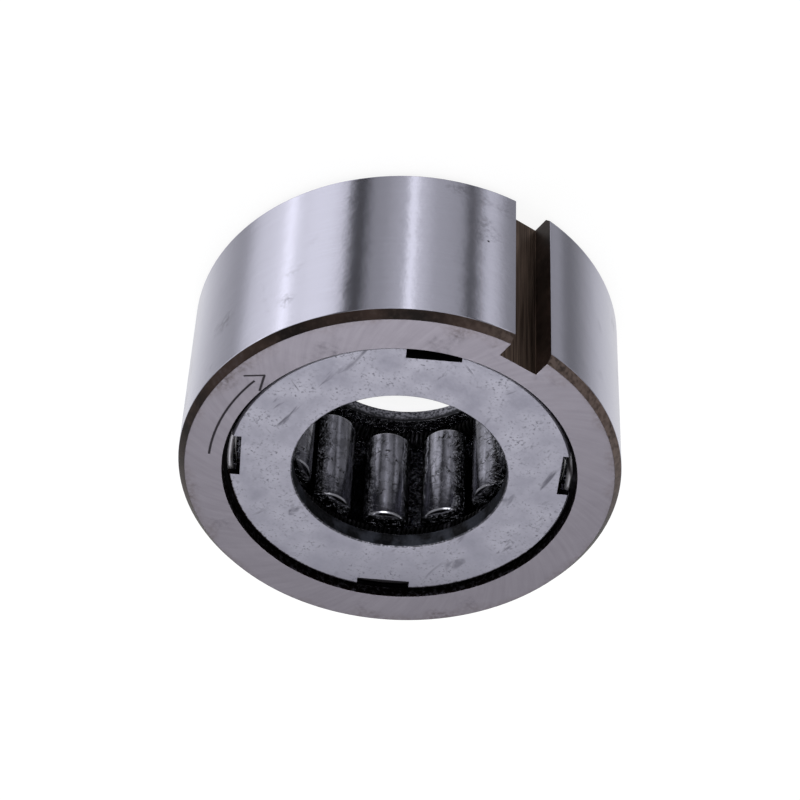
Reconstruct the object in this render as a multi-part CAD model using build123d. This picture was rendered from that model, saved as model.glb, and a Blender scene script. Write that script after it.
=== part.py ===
from build123d import *

import math
import os

# A one-way sprag clutch of the kind that replaces a 52 mm ball bearing: a keyed outer race with a
# plain ground track, twelve wedge-shaped sprags in a drum cage, two garter springs that tip them,
# and a side plate at each end held by a round-wire snap ring.
# Millimetres. +Z runs along the clutch axis, the rear face lies at z = 0 and the keyway faces -Y.

# Outer race, with the wall between its track and its outside diameter
race_diameter = 52.0
race_width = 25.0
race_wall = 5.72
chamfer_radial = 0.8
chamfer_axial = 1.0
recess_step = 0.52
recess_depth = 1.35
keyway_width = 5.0
keyway_depth = 3.0

# Side plates, and the four notches through which their snap ring is squeezed out. The flats of the
# notches are square to each other; each notch is set off sideways from the middle of its side.
plate_sink = 0.75
plate_thickness = 2.0
plate_shaft_clearance = 0.775
plate_rim_clearance = 0.05
plate_edge_break = 0.2
notch_width = 6.3
notch_depth = 1.5
notch_first_angle = 30.8
notch_offsets = (-0.9, -0.5, 1.9, -2.4)

# Round-wire snap ring, half in a groove of the race and half in a groove of the plate's rim
wire_diameter = 0.85
wire_reach = 0.2
wire_clearance = 0.025
ring_land = 0.25
ring_gap_angle = 12.0
ring_gap_centre = 73.0
ring_squeeze_room = 0.15
section_side_count = 8

# Sprags, and the radial space between the track and the shaft that they bridge
sprag_space = 8.455
sprag_count = 12
sprag_first_angle = 24.8
sprag_clearance = 0.03
sprag_plate_clearance = 0.35
sprag_outer_cam = 4.6
sprag_inner_cam = 3.2
sprag_strut_offset = 0.6
sprag_waist_width = 4.5
outer_cam_half_angle = 42.0
inner_cam_half_angle = 62.0
sprag_end_chamfer = 0.2

# Flat tenon at each end of a sprag, which the garter spring bears on
tenon_length = 2.5
tenon_width = 3.2
tenon_height = 1.6
tenon_round = 0.4

# Garter springs
spring_coil_diameter = 2.0
spring_tenon_clearance = 0.2

# Drum cage with one window for each sprag
cage_end_clearance = 0.25
cage_wall = 1.3
cage_tenon_clearance = 0.6
cage_guide_clearance = 0.1
cage_lip_width = 1.0
window_side_clearance = 0.55
window_end_clearance = 0.15

# Levels and radii that follow from the sizes above; heights are measured from the mid-plane
race_radius = race_diameter / 2
track_radius = race_radius - race_wall
recess_radius = track_radius + recess_step
shaft_radius = track_radius - sprag_space
plate_bore_radius = shaft_radius + plate_shaft_clearance
half_width = race_width / 2
plate_top = half_width - plate_sink
plate_bottom = plate_top - plate_thickness
recess_floor = half_width - recess_depth
plate_rim_radius = track_radius - plate_rim_clearance
groove_half = wire_diameter / 2 + wire_clearance
wire_level = recess_floor - ring_land - groove_half
wire_path_radius = track_radius + wire_reach - wire_diameter / 2
race_groove_radius = track_radius + wire_reach + wire_clearance
plate_groove_radius = track_radius - wire_diameter - ring_squeeze_room

pivot_radius = track_radius - sprag_clearance - sprag_outer_cam
inner_cam_radius = shaft_radius + sprag_clearance + sprag_inner_cam
inner_cam_height = math.sqrt(inner_cam_radius**2 - sprag_strut_offset**2)
sprag_half = plate_bottom - sprag_plate_clearance - tenon_length
sprag_pitch = 360 / sprag_count

tenon_middle = pivot_radius + tenon_height / 2 - sprag_clearance
tenon_under = tenon_middle - tenon_height / 2
spring_path_radius = tenon_under - spring_tenon_clearance - spring_coil_diameter / 2
spring_level = (sprag_half + plate_bottom) / 2

cage_inner_radius = tenon_middle + tenon_height / 2 + cage_tenon_clearance
cage_outer_radius = cage_inner_radius + cage_wall
cage_guide_radius = track_radius - cage_guide_clearance
cage_half = plate_bottom - cage_end_clearance
window_half = sprag_half + window_end_clearance
guide_low = window_half + cage_end_clearance
guide_high = cage_half - cage_lip_width
outer_cam_half_width = sprag_outer_cam * math.sin(math.radians(outer_cam_half_angle))
window_width = 2 * (outer_cam_half_width + window_side_clearance)


def turned(outline):
    """Solid of revolution about Z from a closed outline of (radius, height from the mid-plane)."""
    points = [(radius, 0, half_width + height) for radius, height in outline]
    return revolve(make_face(Polyline(*points, close=True)), Axis.Z)


def both_ends(upper):
    """Outline of a turned piece whose lower half mirrors its upper half."""
    return upper + [(radius, -height) for radius, height in reversed(upper)]


def on_circle(radius, angle):
    """Location on a circle about the axis, with local X pointing outwards."""
    return Rot(0, 0, angle) * Pos(radius, 0, half_width)


def bent_wire(path_radius, section_diameter, level, arc=360.0):
    """Round section, drawn with a few flats, carried around the axis and centred on +X."""
    outline = RegularPolygon(section_diameter / 2, section_side_count)
    section = Plane.XZ * Pos(path_radius, half_width + level) * outline
    return Rot(0, 0, -arc / 2) * revolve(section, Axis.Z, arc)


def make_outer_race():
    """Ground ring with chamfered faces, recessed ends, snap-ring grooves and a full-length keyway."""
    ring = turned(
        both_ends(
            [
                (track_radius, wire_level - groove_half),
                (race_groove_radius, wire_level - groove_half),
                (race_groove_radius, wire_level + groove_half),
                (track_radius, wire_level + groove_half),
                (track_radius, recess_floor),
                (recess_radius, recess_floor),
                (recess_radius, half_width),
                (race_radius - chamfer_radial, half_width),
                (race_radius, half_width - chamfer_axial),
            ]
        )
    )
    cutter = Box(2 * keyway_depth, keyway_width, 2 * race_width)
    return ring - on_circle(race_radius, -90) * cutter


def make_front_side_plate():
    """Flat washer with a snap-ring groove in its rim and four notches that lay the ring open."""
    plate = turned(
        [
            (plate_bore_radius, plate_bottom),
            (plate_rim_radius, plate_bottom),
            (plate_rim_radius, wire_level - groove_half),
            (plate_groove_radius, wire_level - groove_half),
            (plate_groove_radius, wire_level + groove_half),
            (plate_rim_radius, wire_level + groove_half),
            (plate_rim_radius, plate_top),
            (plate_bore_radius, plate_top),
        ]
    )
    plate = chamfer(plate.edges().group_by(Axis.Z)[-1], plate_edge_break)
    cutter = Box(2 * notch_depth, notch_width, 2 * race_width)
    for index, offset in enumerate(notch_offsets):
        plate -= on_circle(plate_rim_radius, notch_first_angle + 90 * index) * Pos(0, offset) * cutter
    return plate


def make_front_retaining_ring():
    """Open ring of round spring wire."""
    ring = bent_wire(wire_path_radius, wire_diameter, wire_level, 360 - ring_gap_angle)
    return Rot(0, 0, ring_gap_centre + 180) * ring


def make_front_garter_spring():
    """Endless coil spring under the front tenons, as the envelope of its coils."""
    return bent_wire(spring_path_radius, spring_coil_diameter, spring_level)


def make_cage():
    """Drum with guide rims near both ends and one window for each sprag."""
    drum = turned(
        both_ends(
            [
                (cage_outer_radius, guide_low),
                (cage_guide_radius, guide_low),
                (cage_guide_radius, guide_high),
                (cage_outer_radius, guide_high),
                (cage_outer_radius, cage_half),
                (cage_inner_radius, cage_half),
            ]
        )
    )
    cutter = Box(4 * cage_wall, window_width, 2 * window_half)
    for index in range(sprag_count):
        drum -= on_circle(cage_outer_radius, sprag_first_angle + index * sprag_pitch) * cutter
    return drum


def sprag_outline():
    """Wedge profile with X outwards: two cam arcs with offset centres, joined by hollow flanks."""
    outer = math.radians(outer_cam_half_angle)
    inner = math.radians(inner_cam_half_angle)
    outer_x = pivot_radius + sprag_outer_cam * math.cos(outer)
    outer_y = outer_cam_half_width
    inner_x = inner_cam_height - sprag_inner_cam * math.cos(inner)
    inner_y = sprag_inner_cam * math.sin(inner)
    waist_x = (outer_x + inner_x) / 2
    waist_y = sprag_waist_width / 2
    offset = sprag_strut_offset
    return make_face(
        [
            ThreePointArc(
                (outer_x, -outer_y), (pivot_radius + sprag_outer_cam, 0), (outer_x, outer_y)
            ),
            ThreePointArc(
                (outer_x, outer_y), (waist_x, offset / 2 + waist_y), (inner_x, offset + inner_y)
            ),
            ThreePointArc(
                (inner_x, offset + inner_y),
                (inner_cam_height - sprag_inner_cam, offset),
                (inner_x, offset - inner_y),
            ),
            ThreePointArc(
                (inner_x, offset - inner_y), (waist_x, offset / 2 - waist_y), (outer_x, -outer_y)
            ),
        ]
    )


def make_sprag():
    """One sprag on the +X side: cam profile over the working length and a flat tenon at each end."""
    body = extrude(sprag_outline(), sprag_half, both=True)
    ends = body.edges().group_by(Axis.Z)
    body = chamfer(ends[0] + ends[-1], sprag_end_chamfer)
    section = Pos(tenon_middle, 0) * RectangleRounded(tenon_height, tenon_width, tenon_round)
    tenons = extrude(section, sprag_half + tenon_length, both=True)
    return Pos(0, 0, half_width) * (body + tenons)


def mirrored(piece):
    """The same piece at the rear end."""
    return mirror(piece, Plane.XY.offset(half_width))


front = {
    "front_side_plate": make_front_side_plate(),
    "front_retaining_ring": make_front_retaining_ring(),
    "front_garter_spring": make_front_garter_spring(),
}
pieces = {"outer_race": make_outer_race(), "cage": make_cage()}
for name, piece in front.items():
    pieces[name] = piece
    pieces[name.replace("front", "rear")] = mirrored(piece)
sprag = make_sprag()
for index in range(sprag_count):
    pieces[f"sprag_{index + 1:02d}"] = Rot(0, 0, sprag_first_angle + index * sprag_pitch) * sprag

os.makedirs("parts", exist_ok=True)
for name, piece in pieces.items():
    export_step(piece, f"parts/{name}.step")
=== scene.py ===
import bpy
import math
from mathutils import Matrix, Vector


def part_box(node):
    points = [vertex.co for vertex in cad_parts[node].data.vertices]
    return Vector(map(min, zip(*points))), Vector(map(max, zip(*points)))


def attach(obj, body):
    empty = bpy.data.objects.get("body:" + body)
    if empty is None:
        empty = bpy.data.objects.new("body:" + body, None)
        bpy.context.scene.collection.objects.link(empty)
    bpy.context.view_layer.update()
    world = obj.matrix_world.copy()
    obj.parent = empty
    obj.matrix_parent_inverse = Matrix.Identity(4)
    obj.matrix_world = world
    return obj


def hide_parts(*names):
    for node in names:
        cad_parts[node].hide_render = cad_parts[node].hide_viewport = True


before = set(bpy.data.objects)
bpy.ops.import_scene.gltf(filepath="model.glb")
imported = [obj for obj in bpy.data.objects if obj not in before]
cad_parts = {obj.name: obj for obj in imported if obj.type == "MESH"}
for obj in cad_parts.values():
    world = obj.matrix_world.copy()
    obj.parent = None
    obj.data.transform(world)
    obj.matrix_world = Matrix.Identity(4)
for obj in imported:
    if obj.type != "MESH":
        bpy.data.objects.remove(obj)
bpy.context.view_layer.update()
MM = 0.001

# ---------------------------------------------------------------------------------------------
# Studio: the clutch lies on its rear face on a white table, seen from above at 46 degrees with
# the camera held upside down, so that the keyed side of the race is at the top of the picture.
# Directions round the table are headings in degrees, counted from the X axis towards Y.
race_low, race_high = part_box("outer_race")
race_radius = race_high.x
race_top = race_high.z
middle = Vector((0, 0, race_top / 2))

CAMERA_AZIMUTH = math.radians(33.3)
CAMERA_ELEVATION = math.radians(45.8)
CAMERA_DISTANCE = 310.2 * MM
CAMERA_ROLL = math.radians(182.9)
CAMERA_LENS = 115.6
SENSOR_WIDTH = 36
camera_aim = Vector((0.3, 0.2, 11.8)) * MM
camera_data = bpy.data.cameras.new("camera")
camera_data.lens = CAMERA_LENS
camera_data.sensor_width = SENSOR_WIDTH
camera_data.clip_start = 0.01
camera_data.clip_end = 10
camera = bpy.data.objects.new("camera", camera_data)
bpy.context.scene.collection.objects.link(camera)
across = Vector((math.cos(CAMERA_AZIMUTH), math.sin(CAMERA_AZIMUTH), 0))
back = Vector((
    math.sin(CAMERA_AZIMUTH) * math.cos(CAMERA_ELEVATION),
    -math.cos(CAMERA_AZIMUTH) * math.cos(CAMERA_ELEVATION),
    math.sin(CAMERA_ELEVATION),
))
level_view = Matrix((across, back.cross(across), back)).transposed()
camera.matrix_world = (
    Matrix.Translation(camera_aim + CAMERA_DISTANCE * back)
    @ (level_view @ Matrix.Rotation(CAMERA_ROLL, 3, "Z")).to_4x4()
)
bpy.context.scene.camera = camera
bpy.context.scene.view_settings.view_transform = "Standard"


def add(tree, kind, inputs=(), **settings):
    """A node with its settings; an input is a value or the socket that it is linked from."""
    made = tree.nodes.new(kind)
    for name, value in settings.items():
        setattr(made, name, value)
    for socket, value in dict(inputs).items():
        if isinstance(value, bpy.types.NodeSocket):
            tree.links.new(value, made.inputs[socket])
        else:
            made.inputs[socket].default_value = value
    return made


def math_of(tree, operation, *values):
    """The outcome of one Math node."""
    return add(tree, "ShaderNodeMath", dict(enumerate(values)), operation=operation).outputs[0]


def vector_of(tree, operation, *values):
    """The vector that one Vector Math node gives."""
    return add(tree, "ShaderNodeVectorMath", dict(enumerate(values)), operation=operation).outputs[0]


def dot_of(tree, first, second):
    """How far two directions agree: 1 along each other, 0 square, -1 opposed."""
    inputs = {0: first, 1: second}
    return add(tree, "ShaderNodeVectorMath", inputs, operation="DOT_PRODUCT").outputs["Value"]


def zone(tree, value, start, end):
    """Rises from 0 to 1 while a value goes from start to end."""
    return add(tree, "ShaderNodeMapRange", {0: value, 1: start, 2: end}).outputs[0]


def blend(tree, share, first, second):
    """A colour that goes from the first to the second with the share."""
    return add(tree, "ShaderNodeMix", {0: share, 6: first, 7: second}, data_type="RGBA").outputs[2]


def linear(code):
    """A colour written as sRGB hex, turned to the linear values that a shader takes."""
    parts = [int(code[i : i + 2], 16) / 255 for i in (1, 3, 5)]
    return [p / 12.92 if p <= 0.04045 else ((p + 0.055) / 1.055) ** 2.4 for p in parts] + [1]


# The room: white to the eye and plain white as light. Polished steel sees a ring of soft boxes
# and dark seams, given as heading and brightness, with a plain sky higher up.
soft_boxes = [
    (9.5, 0.88), (12, 2.4), (14.5, 0.95), (20, 0.9), (36, 0.8), (43, 0.32), (52, 0.38), (70, 0.58),
    (92, 0.85), (155, 0.78), (180, 0.62), (191, 0.4), (203, 0.19), (211, 0.1), (215, 0.5), (221, 0.3),
    (250, 0.26), (256, 0.62), (261, 0.8), (266, 0.22), (271, 0.02), (276, 0.38), (290, 0.46),
    (299, 0.72), (303, 1.2), (307, 0.55), (318, 0.36), (324, 0.33), (331, 0.02), (336, 0.08),
    (340, 0.8), (348, 0.98),
]
WHITE = (1, 1, 1, 1)
ROOM_LIGHT = 0.75
WINDOW_LIGHT = 4.0
world = bpy.data.worlds.new("studio")
bpy.context.scene.world = world
world.use_nodes = True
room = world.node_tree
room.nodes.clear()
direction = add(room, "ShaderNodeTexCoord").outputs["Generated"]
parts = add(room, "ShaderNodeSeparateXYZ", {0: direction}).outputs
turn = math_of(room, "ARCTAN2", parts[1], parts[0])
turn = math_of(room, "FRACT", math_of(room, "DIVIDE", turn, 2 * math.pi))
boxes = add(room, "ShaderNodeValToRGB", {0: turn})
ramp = boxes.color_ramp
while len(ramp.elements) < len(soft_boxes):
    ramp.elements.new(1)
for element, (angle, level) in zip(ramp.elements, soft_boxes):
    element.position = angle / 360
    element.color = (level, level, level, 1)
over_boxes = zone(room, parts[2], 0.15, 0.5)
away = dot_of(room, direction, (-back.x, -back.y, 0))
sky = add(room, "ShaderNodeMapRange", {0: away, 1: 0.3, 2: 0, 3: 0.08, 4: 0.3}).outputs[0]
mirrored = blend(room, over_boxes, boxes.outputs[0], sky)

# A window behind the camera puts small glints on wet grease and rounded edges.
window = add(
    room, "ShaderNodeMapRange", {0: dot_of(room, direction, back), 1: 0.97, 2: 0.99, 4: WINDOW_LIGHT}
).outputs[0]
mirrored = vector_of(room, "ADD", mirrored, window)
path = add(room, "ShaderNodeLightPath").outputs
gloss = add(room, "ShaderNodeBackground", {0: mirrored, 1: 1.0}).outputs[0]
plain = add(room, "ShaderNodeBackground", {0: WHITE, 1: 1.0}).outputs[0]
soft = add(room, "ShaderNodeBackground", {0: WHITE, 1: ROOM_LIGHT}).outputs[0]
seen = add(room, "ShaderNodeMixShader", {0: path["Is Camera Ray"], 1: soft, 2: plain}).outputs[0]
seen = add(room, "ShaderNodeMixShader", {0: path["Is Glossy Ray"], 1: seen, 2: gloss}).outputs[0]
add(room, "ShaderNodeOutputWorld", {0: seen})

# One wide lamp above the far side of the table gives the faces their sheen and a soft shadow.
LAMP_SIZE = 0.25
LAMP_WATTS = 0.8
lamp_data = bpy.data.lights.new("soft_lamp", "AREA")
lamp_data.shape = "DISK"
lamp_data.size = LAMP_SIZE
lamp_data.energy = LAMP_WATTS
lamp = bpy.data.objects.new("soft_lamp", lamp_data)
bpy.context.scene.collection.objects.link(lamp)
lamp_place = Vector((-0.17, 0.26, 0.64))
lamp.matrix_world = (
    Matrix.Translation(lamp_place) @ (lamp_place - middle).to_track_quat("Z", "Y").to_matrix().to_4x4()
)

# White table top. It stays white to the eye apart from the shadow that the clutch casts on it.
TABLE_SIZE = 6
TABLE_GLOW = 1.18
GLOW_SHARE = 0.75
bpy.ops.object.select_all(action="DESELECT")
bpy.ops.mesh.primitive_plane_add(size=TABLE_SIZE, location=(0, 0, -0.02 * MM))
table = bpy.context.object
table.name = "table"
table_white = bpy.data.materials.new("white_laminate_table")
table_white.use_nodes = True
tree = table_white.node_tree
tree.nodes.clear()
path = add(tree, "ShaderNodeLightPath").outputs
lit = add(tree, "ShaderNodeBsdfDiffuse", {0: (0.8, 0.8, 0.8, 1)}).outputs[0]
glow = add(tree, "ShaderNodeEmission", {0: WHITE, 1: TABLE_GLOW}).outputs[0]
seen = math_of(tree, "MAXIMUM", path["Is Camera Ray"], path["Is Glossy Ray"])
seen = math_of(tree, "MAXIMUM", seen, path["Is Transmission Ray"])
share = math_of(tree, "MULTIPLY", seen, GLOW_SHARE)
top = add(tree, "ShaderNodeMixShader", {0: share, 1: lit, 2: glow}).outputs[0]
add(tree, "ShaderNodeOutputMaterial", {0: top})
table.data.materials.append(table_white)
table.visible_glossy = False


# ---------------------------------------------------------------------------------------------
# Outer race: through-hardened bearing steel, ground on the outside diameter, the faces and the
# track. Chamfers and keyway are left as they came from hardening, brown with oxide.
MERGE_DISTANCE = 0.001 * MM
FLAT_ANGLE = 0.05
SHARP_ANGLE = 35
FLAT_WEIGHT = 90


def finished(node, name, sharp=SHARP_ANGLE, edge=0.0, segments=2, even=True):
    """A merged copy of a node's solid that stands for it, shaded smooth up to the sharp angle.

    edge is the width that its edges are rounded by, in so many segments, and even keeps the
    flat faces beside the rounding flat in their shading.
    """
    bpy.ops.object.select_all(action="DESELECT")
    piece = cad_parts[node].copy()
    piece.data = piece.data.copy()
    piece.name = name
    piece.data.name = name
    for key in list(piece.keys()):
        del piece[key]
    piece.parent = None
    piece.data.materials.clear()
    bpy.context.scene.collection.objects.link(piece)
    piece.select_set(True)
    bpy.context.view_layer.objects.active = piece
    bpy.ops.object.mode_set(mode="EDIT")
    bpy.ops.mesh.select_all(action="SELECT")
    bpy.ops.mesh.remove_doubles(threshold=MERGE_DISTANCE)
    bpy.ops.mesh.customdata_custom_splitnormals_clear()
    bpy.ops.mesh.dissolve_limited(angle_limit=math.radians(FLAT_ANGLE))
    bpy.ops.object.mode_set(mode="OBJECT")
    if edge:
        rounding = piece.modifiers.new("edge_round", "BEVEL")
        rounding.width = edge
        rounding.segments = segments
        rounding.limit_method = "ANGLE"
        rounding.angle_limit = math.radians(SHARP_ANGLE)
        bpy.ops.object.modifier_apply(modifier="edge_round")
    bpy.ops.object.shade_smooth_by_angle(angle=math.radians(sharp))
    if edge and even:
        flats = piece.modifiers.new("flat_faces", "WEIGHTED_NORMAL")
        flats.keep_sharp = True
        flats.weight = FLAT_WEIGHT
        bpy.ops.object.modifier_apply(modifier="flat_faces")
    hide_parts(node)
    return piece


def blank(name):
    """A new material, its emptied node tree and the object coordinates that its patterns use."""
    made = bpy.data.materials.new(name)
    made.use_nodes = True
    made.node_tree.nodes.clear()
    return made, made.node_tree, add(made.node_tree, "ShaderNodeTexCoord").outputs["Object"]


def principled(tree, tone, metallic, roughness, **more):
    """Ends a material's tree with its surface."""
    inputs = {"Base Color": tone, "Metallic": metallic, "Roughness": roughness}
    for name, value in more.items():
        inputs[name.replace("_", " ")] = value
    surface = add(tree, "ShaderNodeBsdfPrincipled", inputs)
    add(tree, "ShaderNodeOutputMaterial", {0: surface.outputs[0]})


def relief(tree, depth):
    """A shading normal from a depth in mm."""
    inputs = {"Height": depth, "Strength": 1.0, "Distance": MM}
    return add(tree, "ShaderNodeBump", inputs).outputs[0]


def noise(tree, vector, per_mm, detail=2.0, **more):
    """Noise with so many features to a millimetre."""
    inputs = {"Vector": vector, "Scale": per_mm / MM, "Detail": detail, **more}
    return add(tree, "ShaderNodeTexNoise", inputs).outputs["Fac"]


def from_axis(tree, place):
    """Distance from the clutch axis, and the direction away from it."""
    flat = vector_of(tree, "MULTIPLY", place, (1, 1, 0))
    length = add(tree, "ShaderNodeVectorMath", {0: flat}, operation="LENGTH").outputs["Value"]
    return length, vector_of(tree, "NORMALIZE", flat)


def from_middle(tree, height):
    """Distance along the axis from the middle of the clutch."""
    return math_of(tree, "ABSOLUTE", math_of(tree, "SUBTRACT", height, middle.z))


def on_front(angle, distance):
    """A point of the race seen along the axis, from its heading and its radius in mm."""
    return Vector((math.cos(math.radians(angle)), math.sin(math.radians(angle)), 0)) * distance * MM


def toward(tree, outward, angle):
    """How far a direction away from the axis agrees with a heading."""
    return dot_of(tree, outward, on_front(angle, 1 / MM))


race = finished("outer_race", "keyed_outer_race", edge=0.07 * MM)
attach(race, "housing")

# Sizes of the race that its zones follow.
recess_gap = 0.57 * MM
keyway_depth = 3 * MM
plate_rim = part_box("front_side_plate")[1].x
recess_radius = plate_rim + recess_gap
keyway_half = math.sqrt(race_radius**2 - race_low.y**2)
keyway_floor = keyway_depth - race_radius

ground_steel, tree, place = blank("ground_bearing_steel")
radius, outward = from_axis(tree, place)
x, y, height = add(tree, "ShaderNodeSeparateXYZ", {0: place}).outputs
level = from_middle(tree, height)
beside = math_of(tree, "ABSOLUTE", x)
on_outside = zone(tree, radius, race_radius - 0.05 * MM, race_radius - 0.02 * MM)
on_face = zone(tree, level, middle.z - 0.03 * MM, middle.z - 0.01 * MM)
in_recess = zone(tree, radius, recess_radius + 0.06 * MM, recess_radius + 0.03 * MM)
in_bore = zone(tree, radius, recess_radius - 0.02 * MM, recess_radius - 0.05 * MM)
in_keyway = math_of(
    tree,
    "MULTIPLY",
    zone(tree, beside, keyway_half + 0.02 * MM, keyway_half + 0.005 * MM),
    zone(tree, y, keyway_floor + 0.02 * MM, keyway_floor + 0.005 * MM),
)

# Ground faces: cup-wheel marks sweep across them, wheel marks run round the outside diameter.
# Their places join the heading and a distance and are scaled already, so the noise's scale is 1.
FACE_MARKS_ROUND = 38
OUTSIDE_MARKS_ROUND = 2.5
sweep = add(tree, "ShaderNodeVectorRotate", {0: outward, 3: math_of(tree, "MULTIPLY", radius, 30)})
sweep.rotation_type = "Z_AXIS"
across_face = add(tree, "ShaderNodeCombineXYZ", {2: math_of(tree, "MULTIPLY", radius, 0.2 / MM)}).outputs[0]
around_face = (FACE_MARKS_ROUND, FACE_MARKS_ROUND, 0)
across_face = vector_of(tree, "MULTIPLY_ADD", sweep.outputs[0], around_face, across_face)
face_marks = noise(tree, across_face, MM, 5.0)
along_axis = add(tree, "ShaderNodeCombineXYZ", {2: math_of(tree, "MULTIPLY", height, 9 / MM)}).outputs[0]
around_outside = (OUTSIDE_MARKS_ROUND, OUTSIDE_MARKS_ROUND, 0)
along_axis = vector_of(tree, "MULTIPLY_ADD", outward, around_outside, along_axis)
wheel_marks = noise(tree, along_axis, MM, 3.0)

# Stains and nicks from handling: few, dark and ragged.
cloud = noise(tree, place, 0.22, 6.0)
fine = noise(tree, place, 1.8, 3.0)
stain = math_of(tree, "MULTIPLY", zone(tree, cloud, 0.6, 0.76), zone(tree, fine, 0.35, 0.75))
pocks = add(tree, "ShaderNodeTexVoronoi", {"Vector": place, "Scale": 0.16 / MM, "Randomness": 1.0}).outputs
pick = add(tree, "ShaderNodeSeparateColor", {0: pocks["Color"]}).outputs[0]
nick = math_of(tree, "MULTIPLY", zone(tree, pocks["Distance"], 0.035, 0.015), zone(tree, pick, 0.55, 0.57))


def stroke(tree, place, start, end):
    """Distance of the shaded point from a straight stroke between two points of the face."""
    along = end - start
    flat = vector_of(tree, "MULTIPLY", place, (1, 1, 0))
    away = vector_of(tree, "SUBTRACT", flat, start)
    share = dot_of(tree, away, along / along.length_squared)
    share = add(tree, "ShaderNodeClamp", {0: share}).outputs[0]
    foot = add(tree, "ShaderNodeVectorMath", {0: along, "Scale": share}, operation="SCALE").outputs[0]
    gap = add(tree, "ShaderNodeVectorMath", {0: away, 1: foot}, operation="DISTANCE")
    return gap.outputs["Value"]


# The arrow of free rotation, etched into the front face: an arc with an open head.
arrow_tip = on_front(348.6, 22.2)
barbs = (on_front(352.8, 23.7), on_front(354.3, 21.0))
arc_radius = 22.4 * MM
arc_middle = 9.6
arc_half = 17.4
arc_fade = 0.3
stroke_edge = 0.16 * MM
stroke_core = 0.08 * MM
head = math_of(tree, "MINIMUM", *[stroke(tree, place, arrow_tip, barb) for barb in barbs])
head = zone(tree, head, stroke_edge, stroke_core)
off_arc = math_of(tree, "ABSOLUTE", math_of(tree, "SUBTRACT", radius, arc_radius))
arc = math_of(
    tree,
    "MULTIPLY",
    zone(tree, off_arc, stroke_edge, stroke_core),
    zone(
        tree,
        toward(tree, outward, arc_middle),
        math.cos(math.radians(arc_half)),
        math.cos(math.radians(arc_half - arc_fade)),
    ),
)
arrow = math_of(tree, "MAXIMUM", head, arc)
arrow = math_of(tree, "MULTIPLY", arrow, zone(tree, height, race_top - 0.03 * MM, race_top - 0.01 * MM))

# Oxide on the chamfers, made lighter in patches towards one heading by painted light, but not on the walls
# of the keyway.
oxide_tone = blend(tree, zone(tree, cloud, 0.35, 0.65), linear("#150d0b"), linear("#3a2c27"))
painted_light_side = zone(tree, toward(tree, outward, 245), 0.65, 0.95)
painted_light_side = math_of(tree, "MULTIPLY", painted_light_side, zone(tree, fine, 0.2, 0.6))
off_keyway = zone(tree, beside, keyway_half + 0.05 * MM, keyway_half + 0.1 * MM)
painted_light_side = math_of(tree, "MULTIPLY", painted_light_side, off_keyway)
oxide_tone = blend(tree, math_of(tree, "MULTIPLY", painted_light_side, 0.52), oxide_tone, linear("#8b7a73"))
flecks = math_of(tree, "MULTIPLY", zone(tree, fine, 0.5, 0.7), 0.15)
oxide_tone = blend(tree, flecks, oxide_tone, linear("#5f514b"))

# Outside diameter and faces, with a breath of rust that reaches in from the rim of the face.
outside_tone = blend(tree, wheel_marks, linear("#cccbdc"), linear("#d6d6e8"))
face_tone = blend(tree, zone(tree, face_marks, 0.3, 0.7), linear("#9a95a0"), linear("#a39ea9"))
tone = blend(tree, on_outside, oxide_tone, outside_tone)
tone = blend(tree, on_face, tone, face_tone)
rust = math_of(tree, "MULTIPLY_ADD", cloud, 6 * MM, radius)
rust = math_of(tree, "MULTIPLY", zone(tree, rust, race_radius + 1.1 * MM, race_radius + 2.8 * MM), on_face)
rust = math_of(tree, "MULTIPLY", rust, zone(tree, fine, 0.3, 0.7))
tone = blend(tree, math_of(tree, "MULTIPLY", rust, 0.55), tone, linear("#6d5f59"))

# Broached keyway, a greasy recess with painted shade and glints, and a bore painted near black.
broached = noise(tree, vector_of(tree, "MULTIPLY", place, (1, 1, 0.02)), 4.0, 3.0)
keyway_tone = blend(tree, zone(tree, broached, 0.35, 0.7), linear("#43362f"), linear("#8c786c"))
tone = blend(tree, in_keyway, tone, keyway_tone)
# Recess wall: dark with grease and painted shade, its lighter flecks painted glints.
recess_shade_and_glints = blend(tree, zone(tree, fine, 0.5, 0.68), linear("#251d1c"), linear("#6d6a72"))
tone = blend(tree, in_recess, tone, recess_shade_and_glints)
# Floor seen in the gap beside the plate, and the bore: painted near black as the deep shade there, over
# grease.
tone = blend(tree, in_bore, tone, linear("#0b0a0c"))
worn = math_of(tree, "MAXIMUM", math_of(tree, "MULTIPLY", stain, 0.5), nick)
tone = blend(tree, worn, tone, linear("#4d4a52"))
tone = blend(tree, arrow, tone, linear("#39363b"))

# Grinding round the outside stretches reflections along the axis.
bare = math_of(tree, "MAXIMUM", math_of(tree, "MAXIMUM", on_outside, on_face), in_keyway)
bare = math_of(tree, "MAXIMUM", bare, in_recess)
rough = math_of(tree, "MULTIPLY_ADD", on_outside, -0.27, 0.42)
rough = math_of(tree, "MULTIPLY_ADD", worn, 0.25, rough)
depth = math_of(tree, "MULTIPLY", arrow, -0.02)
depth = math_of(tree, "MULTIPLY_ADD", math_of(tree, "MULTIPLY", face_marks, on_face), 0.0012, depth)
depth = math_of(tree, "MULTIPLY_ADD", math_of(tree, "MULTIPLY", wheel_marks, on_outside), 0.001, depth)
depth = math_of(tree, "MULTIPLY_ADD", cloud, 0.03, depth)
depth = math_of(tree, "MULTIPLY_ADD", fine, 0.003, depth)
around = vector_of(tree, "CROSS_PRODUCT", (0, 0, 1), outward)
facing = add(tree, "ShaderNodeNewGeometry").outputs["Normal"]
principled(
    tree,
    tone,
    math_of(tree, "MULTIPLY_ADD", bare, 0.7, 0.3),
    rough,
    Specular_IOR_Level=0.2,
    Anisotropic=math_of(tree, "MULTIPLY", on_outside, 0.95),
    Tangent=vector_of(tree, "CROSS_PRODUCT", around, facing),
    Normal=relief(tree, depth),
)
race.data.materials.append(ground_steel)
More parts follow.
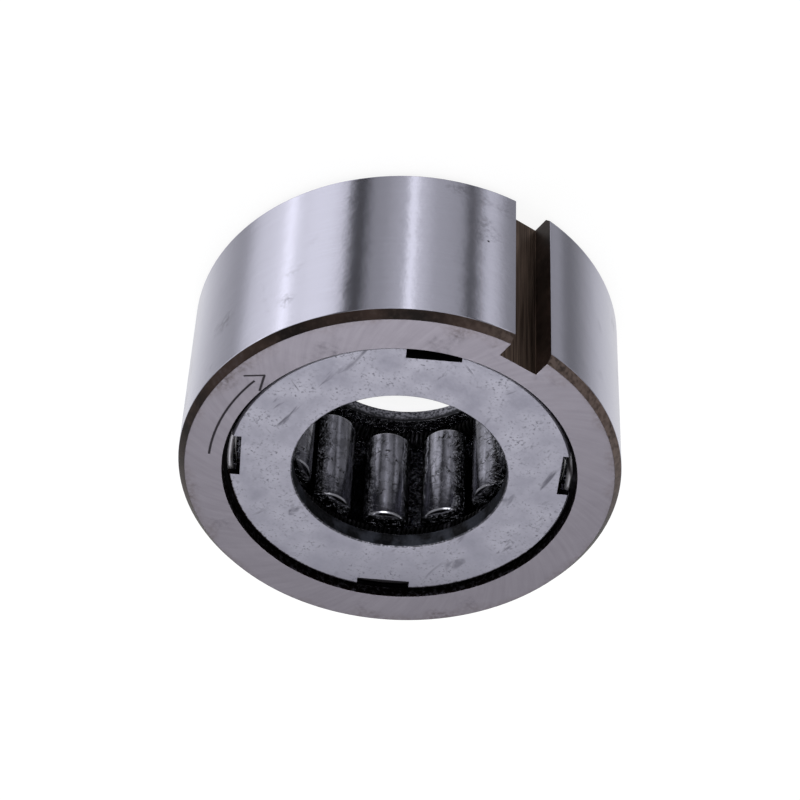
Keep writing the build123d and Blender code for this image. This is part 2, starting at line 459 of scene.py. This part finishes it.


# ---------------------------------------------------------------------------------------------
# Side plates: washers blanked from steel sheet and tumbled, so they are matt with fine pits,
# smudges and scratches. Oil and painted shade darken the walls, and painted shade darkens the
# rim and the face towards the far side.
def wrinkles(tree, place):
    """Grease pulled into long thin wrinkles."""
    return noise(tree, place, 1.1, 8.0, Distortion=2.0)


ENDS = ("front", "rear")
plate_bore = 12.6 * MM
plate_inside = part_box("front_side_plate")[0].z - middle.z
tumbled_steel, tree, place = blank("tumbled_sheet_steel")
radius, outward = from_axis(tree, place)
height = add(tree, "ShaderNodeSeparateXYZ", {0: place}).outputs[2]
level = from_middle(tree, height)
facing = add(tree, "ShaderNodeNewGeometry").outputs["True Normal"]
facing = math_of(tree, "ABSOLUTE", add(tree, "ShaderNodeSeparateXYZ", {0: facing}).outputs[2])

# Dust in the pits, smudges drawn out sideways and hair scratches.
cloud = noise(tree, place, 0.3, 6.0)
grit = noise(tree, place, 3.2, 3.0)
dust = math_of(tree, "MULTIPLY", zone(tree, grit, 0.56, 0.72), zone(tree, cloud, 0.42, 0.62))
drawn_out = vector_of(tree, "MULTIPLY", place, (1, 0.3, 1))
smudge = zone(tree, noise(tree, drawn_out, 0.36, 4.0, Distortion=1.2), 0.63, 0.72)
turned_place = add(tree, "ShaderNodeVectorRotate", {0: place, 3: 2.0})
turned_place.rotation_type = "Z_AXIS"
hair = noise(tree, vector_of(tree, "MULTIPLY", turned_place.outputs[0], (1, 0.06, 1)), 2.4, 1.0)
hair = math_of(tree, "MULTIPLY", zone(tree, hair, 0.72, 0.78), zone(tree, cloud, 0.5, 0.6))
marks = math_of(tree, "MAXIMUM", math_of(tree, "MAXIMUM", dust, smudge), hair)
tone = blend(tree, zone(tree, cloud, 0.3, 0.7), linear("#aaa9b8"), linear("#c6c5d3"))
tone = blend(tree, math_of(tree, "MULTIPLY", marks, 0.75), tone, linear("#605f6b"))

# Walls, painted: the bore walls oily and speckled, the lower plate's light grey with painted shade
# darkening it towards the inside, the upper plate's painted dark with blue-grey patches as a painted
# reflection of the dark interior, and walls further out, in the notches, painted black as shade.
ragged_radius = math_of(tree, "MULTIPLY_ADD", grit, -0.25 * MM, radius)
painted_walls = zone(tree, ragged_radius, plate_bore - 0.02 * MM, plate_bore - 0.08 * MM)
inside_rim = zone(tree, radius, plate_rim - 0.02 * MM, plate_rim - 0.1 * MM)
wall = math_of(tree, "MULTIPLY", zone(tree, facing, 0.6, 0.4), inside_rim)
painted_walls = math_of(tree, "MAXIMUM", painted_walls, wall)
lower_wall_tone = blend(tree, zone(tree, grit, 0.42, 0.6), linear("#8f8f9a"), linear("#3f4046"))
inner_edge_shade = math_of(tree, "MULTIPLY_ADD", cloud, -1.6 * MM, level)
inner_edge_shade = zone(tree, inner_edge_shade, plate_inside - 0.1 * MM, plate_inside - 0.5 * MM)
lower_wall_tone = blend(tree, inner_edge_shade, lower_wall_tone, linear("#1b1b1e"))
upper_wall_shade = blend(tree, zone(tree, cloud, 0.46, 0.6), linear("#202125"), linear("#5a5e6a"))
painted_wall_tone = blend(tree, zone(tree, height, 0, race_top), lower_wall_tone, upper_wall_shade)
further_out = zone(tree, radius, plate_bore + 0.5 * MM, plate_bore + MM)
painted_wall_tone = blend(tree, further_out, painted_wall_tone, linear("#18171a"))
tone = blend(tree, painted_walls, tone, painted_wall_tone)

# Wrinkled grease on the side that faces the sprags, the light tone of its ridges painted glints.
wrinkle = wrinkles(tree, place)
inside_tone = blend(tree, zone(tree, wrinkle, 0.45, 0.66), linear("#2c2c31"), linear("#c9cad5"))
inside = zone(tree, level, plate_inside + 0.06 * MM, plate_inside + 0.02 * MM)
tone = blend(tree, inside, tone, inside_tone)

# Painted shade round the rim, widest on the far side, a patch of painted shade on the face towards the far
# side, and a broken edge round the bore.
rim_shade_width = 0.42 * MM
far_side = toward(tree, outward, 105)
rim_shade = add(tree, "ShaderNodeMapRange", {0: far_side, 1: 0.05, 2: 0.45, 4: rim_shade_width}).outputs[0]
rim_shade = math_of(tree, "MULTIPLY_ADD", grit, 0.25 * MM, math_of(tree, "ADD", radius, rim_shade))
rim_shade = zone(tree, rim_shade, plate_rim + 0.1 * MM, plate_rim + 0.24 * MM)
tone = blend(tree, rim_shade, tone, linear("#1c1513"))
# Painted shade: darker patches on the face towards the far side.
far_side_shade = math_of(tree, "MULTIPLY_ADD", cloud, 0.5, toward(tree, outward, 123))
far_side_shade = zone(tree, far_side_shade, 1.05, 1.4)
far_side_shade = math_of(tree, "MULTIPLY", far_side_shade, zone(tree, radius, plate_bore, plate_rim))
tone = blend(tree, math_of(tree, "MULTIPLY", far_side_shade, 0.5), tone, linear("#777683"))
broken_edge = math_of(
    tree,
    "MULTIPLY",
    zone(tree, radius, plate_bore + 0.01 * MM, plate_bore + 0.05 * MM),
    zone(tree, radius, plate_bore + 0.2 * MM, plate_bore + 0.15 * MM),
)
broken_edge = math_of(tree, "MULTIPLY", broken_edge, zone(tree, grit, 0.35, 0.5))
tone = blend(tree, broken_edge, tone, linear("#64646c"))
depth = math_of(tree, "MULTIPLY", math_of(tree, "MULTIPLY", wrinkle, inside), 1.1)
depth = math_of(tree, "MULTIPLY_ADD", cloud, 0.0125, depth)
rough = math_of(tree, "MULTIPLY_ADD", grit, 0.2, 0.4)
rough = math_of(tree, "MULTIPLY_ADD", inside, -0.25, rough)
principled(tree, tone, 1.0, rough, Normal=relief(tree, depth))
for end in ENDS:
    plate = finished(f"{end}_side_plate", f"{end}_notched_plate", edge=0.06 * MM)
    plate.data.materials.append(tumbled_steel)
    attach(plate, "housing")


# ---------------------------------------------------------------------------------------------
# Retaining rings: round spring wire, drawn bright, snapped into the groove behind each plate rim
# and streaked with black oil where the notches lay it open. In the notch towards heading 120 it is painted
# dark as shade.
bright_wire, tree, place = blank("drawn_spring_wire")
radius, outward = from_axis(tree, place)
height = add(tree, "ShaderNodeSeparateXYZ", {0: place}).outputs[2]
drawn = add(tree, "ShaderNodeCombineXYZ", {0: radius, 2: height}).outputs[0]
drawn = vector_of(tree, "MULTIPLY_ADD", outward, (2 * MM, 2 * MM, 0), drawn)
film = zone(tree, noise(tree, drawn, 1.5, 3.0), 0.48, 0.6)
far_notch_shade = zone(tree, toward(tree, outward, 120), 0.88, 0.95)
film = math_of(tree, "MAXIMUM", film, far_notch_shade)
tone = blend(tree, film, linear("#d8d6df"), linear("#29262a"))
principled(tree, tone, 0.7, math_of(tree, "MULTIPLY_ADD", film, 0.2, 0.38))
for end in ENDS:
    ring = finished(f"{end}_retaining_ring", f"{end}_wire_ring", sharp=60)
    ring.data.materials.append(bright_wire)
    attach(ring, "housing")


# ---------------------------------------------------------------------------------------------
# Garter springs: hard-drawn wire wound into a long coil and hooked into a ring, black with grease.
# Every turn is a small tilted loop of wire round the ring's path.
greased_wire, tree, place = blank("greased_spring_wire")
film = noise(tree, place, 0.35, 5.0)
showing = zone(tree, film, 0.56, 0.7)
tone = blend(tree, showing, linear("#0d0d0f"), linear("#77767f"))
principled(tree, tone, 0.8, math_of(tree, "MULTIPLY_ADD", showing, -0.3, 0.55))
spring_turns = 150
wire_radius = 0.2 * MM
step = 2 * math.pi / spring_turns
for end in ENDS:
    low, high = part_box(f"{end}_garter_spring")
    coil_radius = (high.z - low.z) / 2
    loop_radius = coil_radius - wire_radius
    path_radius = high.x - coil_radius
    bpy.ops.object.select_all(action="DESELECT")
    bpy.ops.mesh.primitive_torus_add(
        major_radius=loop_radius,
        minor_radius=wire_radius,
        major_segments=14,
        minor_segments=6,
    )
    turn_of_wire = bpy.context.object
    lean = math.asin(path_radius * step / 2 / (2 * loop_radius))
    to_path = (
        Matrix.Translation((path_radius, 0, (low.z + high.z) / 2))
        @ Matrix.Rotation(lean, 4, "X")
        @ Matrix.Rotation(math.pi / 2, 4, "X")
    )
    turn_of_wire.data.transform(to_path)
    turns = [turn_of_wire]
    for index in range(1, spring_turns):
        copy = turn_of_wire.copy()
        copy.data = turn_of_wire.data.copy()
        copy.data.transform(Matrix.Rotation(index * step, 4, "Z"))
        bpy.context.scene.collection.objects.link(copy)
        turns.append(copy)
    for each in turns:
        each.select_set(True)
    bpy.context.view_layer.objects.active = turn_of_wire
    bpy.ops.object.join()
    bpy.ops.object.shade_smooth()
    turn_of_wire.name = f"{end}_coil_spring"
    turn_of_wire.data.materials.append(greased_wire)
    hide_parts(f"{end}_garter_spring")
    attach(turn_of_wire, "cage_drum")


# ---------------------------------------------------------------------------------------------
# Cage: a drum turned from steel tube with a window milled for each sprag. Black grease covers it
# in wet wrinkles and folds that catch the light, their light tone partly painted glints. A painted
# highlight line runs round its end shoulders.
highlight_line_radius = 19.5 * MM
greasy_steel, tree, place = blank("greased_cage_steel")
radius, outward = from_axis(tree, place)
wrinkle = wrinkles(tree, place)
folds = noise(tree, place, 0.4, 2.0, Distortion=1.2)
# Light tone on the wrinkle ridges and folds: partly painted glints on the black grease.
tone = blend(tree, zone(tree, wrinkle, 0.45, 0.68), linear("#26262b"), linear("#a3a4b2"))
tone = blend(tree, math_of(tree, "MULTIPLY", zone(tree, folds, 0.5, 0.6), 0.7), tone, linear("#a3a6b6"))
# Painted highlight: a near-white line round the end shoulders.
off_line = math_of(tree, "ABSOLUTE", math_of(tree, "SUBTRACT", radius, highlight_line_radius))
painted_highlight_line = zone(tree, off_line, 0.14 * MM, 0.07 * MM)
painted_highlight_line = math_of(tree, "MULTIPLY", painted_highlight_line, zone(tree, folds, 0.36, 0.42))
tone = blend(tree, painted_highlight_line, tone, linear("#f0f0f4"))
rough = add(tree, "ShaderNodeMapRange", {0: wrinkle, 1: 0.35, 2: 0.65, 3: 0.1, 4: 0.35}).outputs[0]
rough = math_of(tree, "MULTIPLY_ADD", painted_highlight_line, 0.2, rough)
depth = math_of(tree, "MULTIPLY_ADD", folds, 2.2, math_of(tree, "MULTIPLY", wrinkle, 0.9))
depth = math_of(tree, "MULTIPLY", depth, math_of(tree, "SUBTRACT", 1.0, painted_highlight_line))
metallic = math_of(tree, "MULTIPLY_ADD", painted_highlight_line, -0.5, 0.6)
principled(tree, tone, metallic, rough, Normal=relief(tree, depth))
cage = finished("cage", "windowed_cage", edge=0.08 * MM)
cage.data.materials.append(greasy_steel)
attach(cage, "cage_drum")


# ---------------------------------------------------------------------------------------------
# Sprags: drawn bearing-steel profile, hardened and polished. The shaft wipes the inner crests
# bare; grease stays on the flanks and ends and dries into fine black squiggles. The rounded end
# edges carry a painted highlight.
crest = 11.855 * MM
tenon_length = 2.5 * MM
sprag_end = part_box("sprag_01")[1].z - middle.z - tenon_length
sprag_steel, tree, place = blank("polished_sprag_steel")
radius, outward = from_axis(tree, place)
level = from_middle(tree, add(tree, "ShaderNodeSeparateXYZ", {0: place}).outputs[2])
steel = noise(tree, vector_of(tree, "MULTIPLY", place, (1, 1, 0.2)), 1.6, 3.0)
tone = blend(tree, zone(tree, steel, 0.3, 0.7), linear("#75757f"), linear("#9696a3"))
oil = noise(tree, place, 0.8, 9.0, Distortion=0.8)
oil = math_of(tree, "MULTIPLY", zone(tree, oil, 0.5, 0.6), 0.4)
tone = blend(tree, oil, tone, linear("#3f3f46"))

# Grease: wrinkled on the flanks behind a ragged edge, the light tone of its ridges painted glints, and
# squiggles on the crest.
film = noise(tree, place, 0.5, 6.0)
squiggle = math_of(tree, "SUBTRACT", noise(tree, place, 0.55, 4.0, Distortion=1.5), 0.5)
squiggle = zone(tree, math_of(tree, "ABSOLUTE", squiggle), 0.03, 0.012)
squiggle = math_of(tree, "MULTIPLY", squiggle, zone(tree, film, 0.48, 0.58))
ragged = math_of(tree, "MULTIPLY_ADD", film, 0.8 * MM, radius)
flank = zone(tree, ragged, crest + 1.0 * MM, crest + 1.5 * MM)
grease = math_of(tree, "MAXIMUM", squiggle, flank)
wrinkle = wrinkles(tree, place)
grease_and_glints_tone = blend(tree, zone(tree, wrinkle, 0.45, 0.66), linear("#151517"), linear("#94959f"))
tone = blend(tree, grease, tone, grease_and_glints_tone)

# Painted highlight on the edge where the crest meets the end, but not on the flanks' edges.
painted_highlight_edge = math_of(
    tree,
    "MULTIPLY",
    zone(tree, level, sprag_end - 0.32 * MM, sprag_end - 0.2 * MM),
    zone(tree, level, sprag_end - 0.01 * MM, sprag_end - 0.03 * MM),
)
by_crest = zone(tree, radius, crest + 1.1 * MM, crest + 0.7 * MM)
painted_highlight_edge = math_of(tree, "MULTIPLY", painted_highlight_edge, by_crest)
tone = blend(tree, math_of(tree, "MULTIPLY", painted_highlight_edge, 0.6), tone, linear("#d2d2dc"))
depth = math_of(tree, "MULTIPLY", math_of(tree, "MULTIPLY", wrinkle, flank), 0.4)
depth = math_of(tree, "MULTIPLY_ADD", film, 0.05, depth)
depth = math_of(tree, "MULTIPLY_ADD", squiggle, 0.02, depth)
rough = math_of(tree, "MULTIPLY_ADD", grease, -0.03, 0.2)
principled(tree, tone, 1.0, rough, Normal=relief(tree, depth))
for node in sorted(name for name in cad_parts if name.startswith("sprag_")):
    name = node.replace("sprag", "polished_sprag")
    wedge = finished(node, name, edge=0.08 * MM, segments=3, even=False)
    wedge.data.materials.append(sprag_steel)
    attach(wedge, f"{node}_body")
